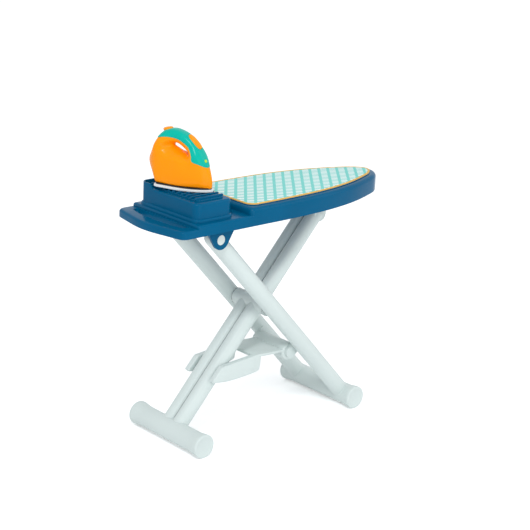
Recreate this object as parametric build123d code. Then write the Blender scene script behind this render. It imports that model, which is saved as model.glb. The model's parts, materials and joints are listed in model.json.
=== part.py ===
from build123d import *

import math
import os

# Toy ironing board with a folding scissor frame and a toy iron on its rest, in millimetres.
# X runs along the board from the handle end to the nose, Y across it, Z up.
# The origin is on the floor under the middle of the board.

# Board, all heights above the floor
BOARD_LENGTH = 625.0
BOARD_HALF_WIDTH = 103.0
SKIRT_BOTTOM = 462.0
END_TOP = 477.5
SHELF_TOP = 484.0
PLATFORM_TOP = 498.5
BOARD_WALL = 3.5
SHELF_START = 54.0
PLATFORM_START = 187.0
RAIL_BOW = 14.0
RAIL_CORNER = 12.0
TAPER_START = 290.0
TAPER_POINTS = ((380.0, 99.3), (450.0, 90.0), (510.0, 75.5), (576.0, 51.0), (602.0, 36.0), (618.0, 19.5))
SLOT_FROM = 27.0
SLOT_TO = 50.0
SLOT_HALF_LENGTH = 80.0
SLOT_BOW = 9.0
SLOT_CORNER = 4.0
RIB_THICK = 2.5
RIBS = ((160.0, 101.0), (235.0, 101.0), (330.0, 100.0), (410.0, 92.0))
PLATFORM_ROUND = 9.0

# Ironing pad
PAD_INSET = 14.0
PAD_START = 196.0
PAD_CORNER = 20.0
PAD_CORE_THICK = 2.6
PAD_CLOTH_THICK = 1.2
BINDING_WIDTH = 7.0

# Iron rest box
BOX_FROM = 60.0
BOX_TO = 152.0
BOX_HALF_WIDTH = 87.0
BOX_RIM = 521.5
BOX_CORNER = 15.0
BOX_WALL = 3.0
GUARD_TOP = 531.0
GUARD_FROM = 46.0
BED_INSET = 12.0
BED_TOP = 524.5
BED_RIB_TOP = 528.8
BED_RIB_THICK = 4.0
BED_RIB_PITCH = 13.5
BED_RIBS = 11

# Frame: distances along X are from the handle end of the board
EAR_X = 121.0
EAR_Z = 443.0
FOOT_A_X = 510.0
FOOT_B_X = 83.5
FOOT_AXIS_Z = 25.0
FOOT_LENGTH = 216.0
FOOT_RADIUS = 22.5
CAP_RADIUS = 25.0
CAP_LENGTH = 14.0
OUTER_TUBE_Y = 67.0
OUTER_TUBE_RADIUS = 18.0
TUBE_WALL = 2.2
INNER_TUBE_Y = 14.5
INNER_TUBE_RADIUS = 16.4
EAR_TO_MID = 253.0
MID_TO_TOP = 232.0
FOLDED_ANGLE = 5.0
RUNNER_GAP = 1.0
RUNNER_EASE = 4.0
HUB_RADIUS = 17.5
AXLE_RADIUS = 5.0
PEG_RADIUS = 10.0
PIN_PLAY = 0.05
EAR_THICK = 5.5
EAR_GAP = 1.0
EAR_BOTTOM_RADIUS = 19.5
EAR_TOP_HALF = 34.0

# Locking stay, hinged on two lugs under the outer tubes
STAY_ALONG = 380.0
STAY_OFFSET = 26.0
STAY_BARREL_RADIUS = 19.0
STAY_HALF_WIDTH = 47.0
STAY_NOTCH_HALF = 33.0
STAY_PRONG_END = 281.0
LUG_RADIUS = 13.0
LUG_THICK = 7.0
LUG_GAP = 0.6

# Toy iron, in its own frame: S from heel to nose, sideways, and up from its sole
IRON_TURN = -70.5
IRON_CENTRE = (108.5, 2.5)
IRON_LENGTH = 118.0
IRON_HALF_WIDTH = 33.0
HEEL_CORNER = 9.0
SOLE_THICK = 5.0
SOLE_GAP = 1.2
HANDLE_HALF = 15.5
BODY_TOP = 60.0
TAIL_HALF = 24.0
POST_TOP = 86.0
COVER_HALF = 17.0
BUTTON_HALF = 10.0
BUTTON_PLAY = 0.5
BUTTON_LIFT = 3.2
BUTTON_DEPTH = 7.0
BUTTON_TRAVEL = 2.5

MID_X = BOARD_LENGTH / 2


def along(x):
    """X in the part's frame of a distance measured from the handle end."""
    return x - MID_X


def rod(start, end, radius):
    """Solid round bar between two points."""
    start, end = Vector(*start), Vector(*end)
    length = (end - start).length
    return Plane(origin=start, z_dir=end - start) * Cylinder(
        radius, length, align=(Align.CENTER, Align.CENTER, Align.MIN)
    )


def cross_bar(x, z, radius, y_from, y_to):
    """Solid round bar that runs across the board at one place in X and Z."""
    return rod((x, y_from, z), (x, y_to, z), radius)


def plate(points, y_from, y_to):
    """Flat plate with a straight-sided outline in X and Z, between two places in Y."""
    face = Plane.XZ * make_face(Polyline(*points, close=True))
    return Pos(0, y_to, 0) * extrude(face, amount=y_to - y_from)


def block(x_from, x_to, y_from, y_to, z_from, z_to):
    """Upright box between two corners."""
    middle = ((x_from + x_to) / 2, (y_from + y_to) / 2, (z_from + z_to) / 2)
    return Pos(*middle) * Box(x_to - x_from, y_to - y_from, z_to - z_from)


def raised(face, z_from, z_to):
    """Upright solid with a plan outline between two heights."""
    return extrude(Pos(0, 0, z_from) * face, amount=z_to - z_from)


def mirrored(edges):
    """Edges of the far half of a plan outline, and the same ones on the near half."""
    return [*edges, *[mirror(edge, about=Plane.XZ) for edge in edges]]


def drawn_in(curve, inset, count=9):
    """Smooth curve a fixed distance to the right of another one."""
    if not inset:
        return curve
    points = []
    for i in range(count):
        place, heading = curve @ (i / (count - 1)), curve % (i / (count - 1))
        points.append((place.X + heading.Y * inset, place.Y - heading.X * inset))
    return Spline(*points, tangents=[curve % 0, curve % 1])


def taper_curve(inset=0.0):
    """Far side of the nose in plan, from where the board starts to narrow to its tip."""
    sides = [(TAPER_START, BOARD_HALF_WIDTH), *TAPER_POINTS, (BOARD_LENGTH, 0)]
    points = [(along(x), y) for x, y in sides]
    return drawn_in(Spline(*points, tangents=[(1, 0), (0, -1)]), inset)


def board_outline(inset=0.0):
    """Plan outline of the board: bowed handle end, straight sides and a rounded nose."""
    half = BOARD_HALF_WIDTH
    corner = along(RAIL_BOW)
    slant = inset * math.sqrt(0.5)
    end = (corner + inset, half - RAIL_CORNER)
    side = (corner + RAIL_CORNER + 1, half - inset)
    bow = ThreePointArc(end, (along(0) + inset, 0), (end[0], -end[1]))
    far = [
        ThreePointArc(end, (corner + 4 + slant, half - 4 - slant), side),
        Line(side, (along(TAPER_START), half - inset)),
        taper_curve(inset),
    ]
    return make_face([bow, *mirrored(far)])


def pad_outline(inset=0.0):
    """Plan outline of the pad: the board's own shape drawn in, with round corners at the rest."""
    side = BOARD_HALF_WIDTH - PAD_INSET - inset
    end = along(PAD_START) + inset
    radius = PAD_CORNER - inset
    slant = radius * (1 - math.sqrt(0.5))
    far = [
        ThreePointArc((end, side - radius), (end + slant, side - slant), (end + radius, side)),
        Line((end + radius, side), (along(TAPER_START), side)),
        taper_curve(PAD_INSET + inset),
    ]
    return make_face([Line((end, side - radius), (end, radius - side)), *mirrored(far)])


def slot_outline(margin=0.0):
    """Plan outline of the finger slot beside the end rail, which bows with it."""
    inner = along(SLOT_TO) + margin
    outer = along(SLOT_FROM) - margin
    half = SLOT_HALF_LENGTH + margin
    ends = outer + SLOT_BOW
    edges = [
        ThreePointArc((ends, -half), (outer, 0), (ends, half)),
        Line((ends, half), (inner, half)),
        Line((inner, half), (inner, -half)),
        Line((inner, -half), (ends, -half)),
    ]
    face = make_face(edges)
    return fillet(face.vertices(), SLOT_CORNER + margin)


def step_cut(x_to, z_from):
    """Block that takes the board's rest end down to the height of the low shelf."""
    beyond = 1.5 * BOARD_HALF_WIDTH
    return block(along(-10), x_to, -beyond, beyond, z_from, PLATFORM_TOP + 5)


def make_deck():
    """Moulded board: low end rail, shelf round the iron rest and raised platform under the pad."""
    end, step = along(SHELF_START), along(PLATFORM_START)
    deck = raised(board_outline(), SKIRT_BOTTOM, PLATFORM_TOP) - step_cut(step, SHELF_TOP)
    corners = [e for e in deck.edges().filter_by(Axis.Z) if abs(e.center().X - step) < 1]
    deck = fillet(corners, PLATFORM_ROUND)
    deck = fillet(deck.edges().group_by(Axis.Z)[-1], PLATFORM_ROUND)
    deck -= step_cut(end, END_TOP)
    hollow = raised(board_outline(BOARD_WALL), SKIRT_BOTTOM - 1, PLATFORM_TOP - BOARD_WALL)
    hollow -= step_cut(step + BOARD_WALL, SHELF_TOP - BOARD_WALL)
    deck -= hollow - step_cut(end + BOARD_WALL, END_TOP - BOARD_WALL)
    deck += raised(slot_outline(BOARD_WALL), SKIRT_BOTTOM + 2, END_TOP - 1)
    deck -= raised(slot_outline(), SKIRT_BOTTOM - 1, SHELF_TOP)
    for x, reach in RIBS:
        top = SHELF_TOP if x < PLATFORM_START else PLATFORM_TOP
        deck += block(along(x), along(x) + RIB_THICK, -reach, reach, SKIRT_BOTTOM + 6, top - BOARD_WALL / 2)
    return deck


def heel_guard(plan, inner):
    """Wall behind the iron's heel: the far end of the rest's rim, swept up above the rest."""
    beyond = BOX_HALF_WIDTH + 5
    foot = BOX_RIM - 6
    sweep = [
        (GUARD_FROM - 4, foot),
        (GUARD_FROM - 4, BOX_RIM - 1),
        (GUARD_FROM, BOX_RIM),
        (GUARD_FROM + 4, BOX_RIM + 1.5),
        (GUARD_FROM + 8, GUARD_TOP - 1.5),
        (GUARD_FROM + 12, GUARD_TOP),
        (beyond, GUARD_TOP),
        (beyond, foot),
    ]
    side = Plane.YZ * make_face(Polyline(*sweep, close=True))
    return raised(plan - inner, foot, GUARD_TOP) & extrude(side, amount=MID_X, both=True)


def make_rest_box():
    """Hollow box that carries the iron, with a flared foot, a raised bed of ribs and a heel guard."""
    length, width = BOX_TO - BOX_FROM, 2 * BOX_HALF_WIDTH
    centre = along((BOX_FROM + BOX_TO) / 2)
    plan = Pos(centre, 0) * RectangleRounded(length, width, BOX_CORNER)
    box = raised(plan, SHELF_TOP, BOX_RIM)
    box = fillet(box.edges().group_by(Axis.Z)[-1], 4)
    flare = Pos(centre, 0) * RectangleRounded(length + 6, width + 8, BOX_CORNER + 3)
    foot = raised(flare, SHELF_TOP, SHELF_TOP + 7)
    foot = chamfer(foot.edges().group_by(Axis.Z)[-1], 3.5)
    box += foot
    inner = Pos(centre, 0) * RectangleRounded(
        length - 2 * BOX_WALL, width - 2 * BOX_WALL, BOX_CORNER - BOX_WALL
    )
    box += heel_guard(plan, inner)
    bed = Pos(centre, 0) * RectangleRounded(
        length - 2 * BED_INSET, width - 2 * BED_INSET, BOX_CORNER - BED_INSET / 2
    )
    box += raised(bed, BOX_RIM - 1, BED_TOP)
    box -= raised(inner, SHELF_TOP, BOX_RIM - BOX_WALL)
    for i in range(BED_RIBS):
        y = (i - (BED_RIBS - 1) / 2) * BED_RIB_PITCH
        box += block(
            centre - length / 2 + BED_INSET,
            centre + length / 2 - BED_INSET,
            y - BED_RIB_THICK / 2,
            y + BED_RIB_THICK / 2,
            BED_TOP - 0.5,
            BED_RIB_TOP,
        )
    return box


def ear(side):
    """Hinge cheek under one long side of the board, with the hole for the outer leg's peg."""
    inner = OUTER_TUBE_Y + OUTER_TUBE_RADIUS + EAR_GAP
    outer = inner + EAR_THICK
    x, z = along(EAR_X), EAR_Z
    top = SHELF_TOP - BOARD_WALL
    lower = EAR_BOTTOM_RADIUS
    outline = [
        (x - EAR_TOP_HALF, top),
        (x - EAR_TOP_HALF, SKIRT_BOTTOM),
        (x - lower * 0.93, z - lower * 0.38),
        (x + lower * 0.93, z - lower * 0.38),
        (x + EAR_TOP_HALF, SKIRT_BOTTOM),
        (x + EAR_TOP_HALF, top),
    ]
    cheek = plate(outline, inner, outer) + cross_bar(x, z, lower, inner, outer)
    cheek -= cross_bar(x, z, PEG_RADIUS + PIN_PLAY, inner - 1, outer + 1)
    return cheek if side > 0 else mirror(cheek, about=Plane.XZ)


def leg_points():
    """Pivots of the open frame in X and Z: ear, mid pivot, top bar, both feet and the stay."""
    ear_at = Vector(along(EAR_X), 0, EAR_Z)
    foot_a = Vector(along(FOOT_A_X), 0, FOOT_AXIS_Z)
    foot_b = Vector(along(FOOT_B_X), 0, FOOT_AXIS_Z)
    down = (foot_a - ear_at).normalized()
    mid = ear_at + down * EAR_TO_MID
    up = (mid - foot_b).normalized()
    top = mid + up * MID_TO_TOP
    under = Vector(down.Z, 0, -down.X)
    stay = ear_at + down * STAY_ALONG + under * STAY_OFFSET
    return {"ear": ear_at, "mid": mid, "top": top, "foot_a": foot_a, "foot_b": foot_b, "stay": stay}


POINTS = leg_points()


def at_y(point, y):
    """The same place in X and Z, moved to one place in Y."""
    return (point.X, y, point.Z)


def outer_tube(side):
    """One of the two hollow tubes of the outer leg, from the ear to the front foot."""
    y = side * OUTER_TUBE_Y
    top, bottom = at_y(POINTS["ear"], y), at_y(POINTS["foot_a"], y)
    tube = rod(top, bottom, OUTER_TUBE_RADIUS) + Pos(*top) * Sphere(OUTER_TUBE_RADIUS)
    tube -= rod(top, bottom, OUTER_TUBE_RADIUS - TUBE_WALL)
    tube -= cross_bar(POINTS["foot_a"].X, FOOT_AXIS_Z, FOOT_RADIUS, y - 40, y + 40)
    reach = OUTER_TUBE_Y + 6
    tube -= cross_bar(POINTS["mid"].X, POINTS["mid"].Z, AXLE_RADIUS, -reach, reach)
    inside = OUTER_TUBE_Y - 6
    outside = OUTER_TUBE_Y + OUTER_TUBE_RADIUS + EAR_GAP + EAR_THICK
    first, last = sorted((side * inside, side * outside))
    tube -= cross_bar(top[0], top[2], PEG_RADIUS, first, last)
    return tube


def ear_peg(side):
    """Round peg at the top of an outer tube, which turns in the ear's hole."""
    inside = OUTER_TUBE_Y - 6
    outside = OUTER_TUBE_Y + OUTER_TUBE_RADIUS + EAR_GAP + EAR_THICK - 0.8
    first, last = sorted((side * inside, side * outside))
    return cross_bar(POINTS["ear"].X, POINTS["ear"].Z, PEG_RADIUS, first, last)


def foot_tube(point):
    """Cross tube of a foot, without its end caps."""
    half = FOOT_LENGTH / 2 - CAP_LENGTH
    tube = cross_bar(point.X, point.Z, FOOT_RADIUS, -half, half)
    return tube - cross_bar(point.X, point.Z, FOOT_RADIUS - TUBE_WALL, -half, half)


def foot_cap(point, side):
    """Flared end cap of a foot, with a spigot inside the tube."""
    half = FOOT_LENGTH / 2
    first, last = sorted((side * (half - CAP_LENGTH), side * half))
    cap = cross_bar(point.X, point.Z, CAP_RADIUS, first, last)
    cap = fillet(cap.edges().filter_by(GeomType.CIRCLE), 2.5)
    spigot_end = side * (half - CAP_LENGTH - 8)
    first, last = sorted((spigot_end, side * (half - CAP_LENGTH + 1)))
    return cap + cross_bar(point.X, point.Z, FOOT_RADIUS - TUBE_WALL, first, last)


def stay_lug(side):
    """Lug under an outer tube that holds the stay's pin."""
    inner = STAY_HALF_WIDTH + LUG_GAP
    first, last = sorted((side * inner, side * (inner + LUG_THICK)))
    x, z = POINTS["stay"].X, POINTS["stay"].Z
    lug = cross_bar(x, z, LUG_RADIUS, first, last)
    toward = POINTS["ear"] + (POINTS["foot_a"] - POINTS["ear"]).normalized() * STAY_ALONG
    middle = Vector((toward.X + x) / 2, (first + last) / 2, (toward.Z + z) / 2)
    lean = math.degrees(math.atan2(toward.Z - z, toward.X - x))
    web = Pos(*middle) * Rot(0, -lean, 0) * Box(STAY_OFFSET, last - first, 2 * LUG_RADIUS)
    lug += web
    y = side * OUTER_TUBE_Y
    lug -= rod(at_y(POINTS["ear"], y), at_y(POINTS["foot_a"], y), OUTER_TUBE_RADIUS)
    return lug - cross_bar(x, z, AXLE_RADIUS, -BOARD_HALF_WIDTH, BOARD_HALF_WIDTH)


def make_inner_leg():
    """Twin-tube inner leg in one moulding, with a round bar at its top and a barrel on the axle."""
    bar_half = INNER_TUBE_Y + INNER_TUBE_RADIUS - 3
    leg = cross_bar(POINTS["top"].X, POINTS["top"].Z, INNER_TUBE_RADIUS, -bar_half, bar_half)
    for y in (-INNER_TUBE_Y, INNER_TUBE_Y):
        leg += rod(at_y(POINTS["foot_b"], y), at_y(POINTS["top"], y), INNER_TUBE_RADIUS)
    up = (POINTS["top"] - POINTS["foot_b"]).normalized()
    solid_half = HUB_RADIUS + 4
    below, above = POINTS["mid"] - up * solid_half, POINTS["mid"] + up * solid_half
    end = POINTS["top"] - up * INNER_TUBE_RADIUS
    for y in (-INNER_TUBE_Y, INNER_TUBE_Y):
        leg -= rod(at_y(POINTS["foot_b"], y), at_y(below, y), INNER_TUBE_RADIUS - TUBE_WALL)
        leg -= rod(at_y(above, y), at_y(end, y), INNER_TUBE_RADIUS - TUBE_WALL)
    leg -= cross_bar(POINTS["foot_b"].X, POINTS["foot_b"].Z, FOOT_RADIUS, -60, 60)
    reach = OUTER_TUBE_Y - OUTER_TUBE_RADIUS - LUG_GAP
    x, z = POINTS["mid"].X, POINTS["mid"].Z
    leg += cross_bar(x, z, HUB_RADIUS, -reach, reach)
    return leg - cross_bar(x, z, AXLE_RADIUS + PIN_PLAY, -reach - 1, reach + 1)


def make_stay():
    """Locking stay: a barrel, a flat neck and two prongs that pass either side of the inner leg."""
    x, z = POINTS["stay"].X, POINTS["stay"].Z
    half = STAY_HALF_WIDTH - 1
    tip, notch_end, prong_end = along(165), along(262), along(STAY_PRONG_END)
    prong = [
        (tip - 13, z - 21),
        (tip - 8, z - 25),
        (tip + 38, z - 30),
        (prong_end - 3, z - 26),
        (prong_end, z - 22),
        (prong_end + 3, z + 9),
        (tip + 60, z + 8),
        (tip + 13, z + 5),
    ]
    neck = [
        (notch_end - 8, z + 8),
        (prong_end - 4, z + 2),
        (prong_end + 20, z + 1),
        (x - 8, z - 3),
        (x - 8, z + 7),
        (prong_end + 30, z + 8),
        (prong_end, z + 12),
        (notch_end, z + 12),
    ]
    gap = STAY_NOTCH_HALF
    stay = plate(prong, -half, half) - block(tip - 60, prong_end + 10, -gap, gap, z - 60, z + 60)
    stay += plate(neck, -half, half) - block(tip - 60, notch_end, -gap, gap, z - 60, z + 60)
    stay += cross_bar(x, z, STAY_BARREL_RADIUS, -STAY_HALF_WIDTH, STAY_HALF_WIDTH)
    return stay - cross_bar(x, z, AXLE_RADIUS + PIN_PLAY, -STAY_HALF_WIDTH - 1, STAY_HALF_WIDTH + 1)


def top_bar_path(steps=6):
    """Places of the inner leg's top bar as the frame folds, from the ear's pivot."""
    down = (POINTS["foot_a"] - POINTS["ear"]).normalized()
    up = (POINTS["top"] - POINTS["foot_b"]).normalized()
    start_a = math.atan2(-down.Z, down.X)
    start_b = math.atan2(up.Z, up.X)
    folded = math.radians(FOLDED_ANGLE)
    places = []
    for i in range(steps + 1):
        turn = (start_a - folded) * i / steps
        a, b = start_a - turn, start_b - turn
        x = POINTS["ear"].X + EAR_TO_MID * math.cos(a) + MID_TO_TOP * math.cos(b)
        z = POINTS["ear"].Z - EAR_TO_MID * math.sin(a) + MID_TO_TOP * math.sin(b)
        places.append((x, z))
    return places


def runner(side):
    """Rib under the deck whose lower edge follows the folding top bar and clears the folded leg."""
    path = top_bar_path()
    gap = INNER_TUBE_RADIUS + RUNNER_GAP
    lower = [(x, z + gap + RUNNER_EASE * i / (len(path) - 1)) for i, (x, z) in enumerate(path)]
    first, last = lower[0], lower[-1]
    deck_under = PLATFORM_TOP - BOARD_WALL
    outline = [
        (first[0] - 30, deck_under),
        (first[0] - 30, first[1] + 12),
        (first[0] - 22, first[1]),
        *lower,
        (last[0], deck_under),
    ]
    y = side * INNER_TUBE_Y
    return plate(outline, y - RIB_THICK, y + RIB_THICK)


def iron_place(solid):
    """Set a piece of the iron, built in its own frame, down on the rest's ribs."""
    centre = Pos(along(IRON_CENTRE[0]), IRON_CENTRE[1], BED_RIB_TOP)
    return centre * Rot(0, 0, IRON_TURN) * Pos(-IRON_LENGTH / 2, 0, 0) * solid


def sole_outline(inset=0.0):
    """Plan outline of the iron: square heel with round corners, sides drawn in to the nose."""
    half = IRON_HALF_WIDTH
    side = half - inset
    waist = IRON_LENGTH * 0.36
    shoulder = (IRON_LENGTH * 0.74, half * 0.66)
    flank = Spline((waist, half), shoulder, (IRON_LENGTH, 0), tangents=[(1, 0), (0, -1)])
    radius = HEEL_CORNER - inset
    slant = radius * (1 - math.sqrt(0.5))
    far = [
        ThreePointArc((inset, side - radius), (inset + slant, side - slant), (inset + radius, side)),
        Line((inset + radius, side), (waist, side)),
        drawn_in(flank, inset),
    ]
    return make_face([Line((inset, side - radius), (inset, radius - side)), *mirrored(far)])


BODY_BOTTOM = SOLE_THICK + SOLE_GAP


def iron_back():
    """Curve of the iron's top in side view: over the handle and down the front slope."""
    points = [(-4, 90), (4, 102), (16, 110), (36, 112), (62, 103), (84, 84), (99, 62), (107, 44)]
    return Spline(*points)


def iron_profile():
    """Side outline of the whole iron above its sole."""
    rear = [(1, BODY_BOTTOM), (-2, 16), (-20, 38), (-24, 49), (-13, 74), (-4, 90)]
    front = [(107, 44), (113, 22), (115, BODY_BOTTOM), (1, BODY_BOTTOM)]
    return Plane.XZ * make_face([*Polyline(*rear).edges(), iron_back(), *Polyline(*front).edges()])


def handle_hole():
    """Side outline of the opening for the fingers."""
    return Plane.XZ * make_face(
        Spline(
            (13, 76), (20, 86), (34, 88), (56, 80), (70, 66), (62, 58), (38, 60), (20, 66), periodic=True
        )
    )


def cover_band():
    """Side outline of the cover that wraps the handle's top and the front slope."""
    inside = Spline((80, 57), (78, 69), (70, 81), (59, 90), (43, 96), (24, 98), (8, 96))
    front = Polyline((107, 44), (102, 49), (93, 54), (80, 57)).edges()
    return Plane.XZ * make_face([iron_back(), *front, inside, Line((8, 96), (-4, 90))])


def button_outline(margin=0.0):
    """Side outline of the thumb button's pocket, square to the slope it is set in."""
    slope_from, slope_to = Vector(60, 105), Vector(89, 80)
    direction = (slope_to - slope_from).normalized()
    normal = Vector(-direction.Y, direction.X)
    first = slope_from - direction * margin
    last = slope_to + direction * margin
    lift = BUTTON_LIFT if not margin else 4 * BUTTON_LIFT
    depth = BUTTON_DEPTH if not margin else BUTTON_DEPTH + BUTTON_TRAVEL + margin
    corners = [first - normal * depth, last - normal * depth, last + normal * lift, first + normal * lift]
    return Plane.XZ * make_face(Polyline(*[(c.X, c.Y) for c in corners], close=True))


def across(face, half):
    """Solid from a side face, the same distance to both sides of the iron's middle."""
    return extrude(face, amount=half, both=True)


def make_iron():
    """All pieces of the iron in its own frame, by node name."""
    whole = across(iron_profile(), IRON_HALF_WIDTH)
    lower = whole & raised(sole_outline(1.5), 0, BODY_TOP)
    tail = whole & block(-30, 40, -TAIL_HALF, TAIL_HALF, 16, BODY_TOP)
    post = whole & block(-30, 16, -TAIL_HALF, TAIL_HALF, BODY_TOP - 5, POST_TOP)
    upper = whole & block(-30, IRON_LENGTH, -HANDLE_HALF, HANDLE_HALF, BODY_TOP - 5, 130)
    body = lower + tail + post + upper
    body -= across(handle_hole(), IRON_HALF_WIDTH + 5)
    body -= across(cover_band(), IRON_HALF_WIDTH + 5)
    cavity = across(Plane.XZ * make_face(Polyline((12, 14), (12, 42), (70, 40), (92, 26), (92, 14),
                                                 close=True)), 12)
    body -= cavity
    far = body & block(-60, 160, 0, 60, 0, 140)
    near = body & block(-60, 160, -60, 0, 0, 140)
    cover = across(cover_band(), COVER_HALF)
    cover -= across(button_outline(BUTTON_PLAY), BUTTON_HALF + BUTTON_PLAY)
    button = across(button_outline(), BUTTON_HALF)
    sole = raised(sole_outline(), 0, SOLE_THICK) + raised(sole_outline(6), SOLE_THICK - 1, BODY_BOTTOM)
    knob = Pos(16, 0, 110.5) * Cylinder(9, 9, align=(Align.CENTER, Align.CENTER, Align.MIN))
    knob -= across(cover_band(), COVER_HALF)
    lamp_at, slope = Vector(96.5, 0, 67.5), math.degrees(math.atan2(24, 17))
    lamp = Pos(*lamp_at) * Rot(0, slope, 0) * Cylinder(3, 4)
    lamp -= across(cover_band(), COVER_HALF)
    return {
        "iron_body_near": near,
        "iron_body_far": far,
        "iron_handle_cover": cover,
        "iron_thumb_button": button,
        "iron_sole": sole,
        "iron_fill_knob": knob,
        "iron_lamp": lamp,
    }


def make_nodes():
    """Every piece by node name, in place."""
    reach = OUTER_TUBE_Y + 6
    pad_top = PLATFORM_TOP + PAD_CORE_THICK
    pad_lip = PAD_CORE_THICK + PAD_CLOTH_THICK
    nodes = {
        "deck": make_deck(),
        "iron_rest": make_rest_box(),
        "pad_foam": raised(pad_outline(BINDING_WIDTH), PLATFORM_TOP, pad_top),
        "pad_cloth": raised(pad_outline(BINDING_WIDTH), pad_top, pad_top + PAD_CLOTH_THICK),
        "pad_binding": raised(pad_outline() - pad_outline(BINDING_WIDTH), PLATFORM_TOP, PLATFORM_TOP + pad_lip),
        "mid_axle": cross_bar(POINTS["mid"].X, POINTS["mid"].Z, AXLE_RADIUS, -reach, reach),
        "inner_leg": make_inner_leg(),
        "locking_stay": make_stay(),
        "stay_pin": cross_bar(
            POINTS["stay"].X, POINTS["stay"].Z, AXLE_RADIUS,
            -STAY_HALF_WIDTH - LUG_GAP - LUG_THICK, STAY_HALF_WIDTH + LUG_GAP + LUG_THICK,
        ),
        "front_foot_tube": foot_tube(POINTS["foot_a"]),
        "rear_foot_tube": foot_tube(POINTS["foot_b"]),
    }
    for name, side in (("near", -1), ("far", 1)):
        nodes["hinge_ear_" + name] = ear(side)
        nodes["outer_tube_" + name] = outer_tube(side)
        nodes["ear_peg_" + name] = ear_peg(side)
        nodes["stay_lug_" + name] = stay_lug(side)
        nodes["runner_" + name] = runner(side)
        nodes["front_foot_cap_" + name] = foot_cap(POINTS["foot_a"], side)
        nodes["rear_foot_cap_" + name] = foot_cap(POINTS["foot_b"], side)
    for name, solid in make_iron().items():
        nodes[name] = iron_place(solid)
    return nodes


os.makedirs("parts", exist_ok=True)
for node_name, shape in make_nodes().items():
    export_step(shape, f"parts/{node_name}.step")
for point_name, point in POINTS.items():
    print(point_name, round(point.X, 3), round(point.Z, 3))
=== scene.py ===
import json
import logging
import math
from dataclasses import dataclass
from enum import Enum
from typing import Callable, Optional, Sequence

import bmesh
import bpy
from mathutils import Matrix, Vector


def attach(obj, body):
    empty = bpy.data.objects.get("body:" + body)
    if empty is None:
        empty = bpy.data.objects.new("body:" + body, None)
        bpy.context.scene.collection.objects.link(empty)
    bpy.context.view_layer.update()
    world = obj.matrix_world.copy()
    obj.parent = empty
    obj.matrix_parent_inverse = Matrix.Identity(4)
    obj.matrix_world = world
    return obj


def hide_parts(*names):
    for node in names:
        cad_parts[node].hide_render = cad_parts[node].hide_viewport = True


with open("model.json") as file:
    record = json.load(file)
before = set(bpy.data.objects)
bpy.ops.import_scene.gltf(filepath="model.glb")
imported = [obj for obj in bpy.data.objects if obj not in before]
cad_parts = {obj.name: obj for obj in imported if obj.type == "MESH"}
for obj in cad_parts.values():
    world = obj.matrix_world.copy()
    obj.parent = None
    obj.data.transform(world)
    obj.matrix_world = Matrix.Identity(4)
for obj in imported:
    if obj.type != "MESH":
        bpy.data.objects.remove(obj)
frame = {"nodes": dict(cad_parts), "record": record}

log = logging.getLogger("ironing_board")

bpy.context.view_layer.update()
HALF_LENGTH = 0.3125
SMOOTH_ANGLE = math.radians(32)
SAME_LEVEL = 1e-5
TINY = 1e-9
PARALLEL = 1e-14
ACROSS = Matrix.Rotation(math.radians(90), 4, "X")

Flat = tuple[float, float]
Place = tuple[float, float, float]
Tint = tuple[int, int, int]
Light = tuple[float, float, float, float]

WHITE: Light = (1, 1, 1, 1)
BLACK: Light = (0, 0, 0, 1)


def along(x: float) -> float:
    """X in the frame of a distance in metres from the handle end."""
    return x - HALF_LENGTH


def from_end(points: Sequence[Flat]) -> list[Flat]:
    """Points in the frame, from ones whose X is a distance from the handle end."""
    return [(along(x), y) for x, y in points]


def linear(red: int, green: int, blue: int) -> Light:
    """Turn a colour written as 0 to 255 into the light values that a shader takes.

    Args:
        red: Red, 0 to 255.
        green: Green, 0 to 255.
        blue: Blue, 0 to 255.

    Returns:
        The colour in linear light, with an alpha of 1.
    """
    def channel(value: float) -> float:
        """One channel in linear light."""
        return value / 12.92 if value <= 0.04045 else ((value + 0.055) / 1.055) ** 2.4

    return (channel(red / 255), channel(green / 255), channel(blue / 255), 1.0)


def smooth_run(points: Sequence[Flat], per_span: int, closed: bool = False) -> list[Flat]:
    """Points on a smooth curve that passes through each of the given ones.

    Args:
        points: The places that the curve passes through.
        per_span: How many steps each stretch is divided into.
        closed: True where the last point joins the first.

    Returns:
        The points of the smooth curve, in order.
    """
    count = len(points)
    spans = count if closed else count - 1

    def pick(i: int) -> Vector:
        """The point at an index, past the ends too."""
        return Vector(points[i % count] if closed else points[max(0, min(count - 1, i))])

    run: list[Flat] = []
    for i in range(spans):
        before, start, end, after = pick(i - 1), pick(i), pick(i + 1), pick(i + 2)
        for k in range(per_span):
            t = k / per_span
            place = 0.5 * (
                2 * start
                + (end - before) * t
                + (2 * before - 5 * start + 4 * end - after) * t ** 2
                + (3 * start - before - 3 * end + after) * t ** 3
            )
            run.append((place.x, place.y))
    if not closed:
        run.append(tuple(points[-1]))
    return run


def ease(share: float) -> float:
    """Rise smoothly from 0 to 1 as a share goes from 0 to 1, and stay level outside."""
    held = max(0.0, min(1.0, share))
    return held * held * (3 - 2 * held)


def drawn_in(outline: Sequence[Flat], inset: float) -> list[Flat]:
    """Move a closed outline inwards by an even distance.

    Args:
        outline: Points round the outline, anticlockwise.
        inset: How far each point moves in, in metres.

    Returns:
        The points of the smaller outline.
    """
    count = len(outline)
    moved = []
    for i, point in enumerate(outline):
        before, after = Vector(outline[i - 1]), Vector(outline[(i + 1) % count])
        here = Vector(point)
        first, last = (here - before).normalized(), (after - here).normalized()
        normal = Vector((-(first.y + last.y), first.x + last.x))
        length = normal.length
        if length < TINY:
            moved.append(tuple(point))
            continue
        normal /= length
        reach = inset / max(0.5, length / 2)
        moved.append((here.x + normal.x * reach, here.y + normal.y * reach))
    return moved


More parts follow.
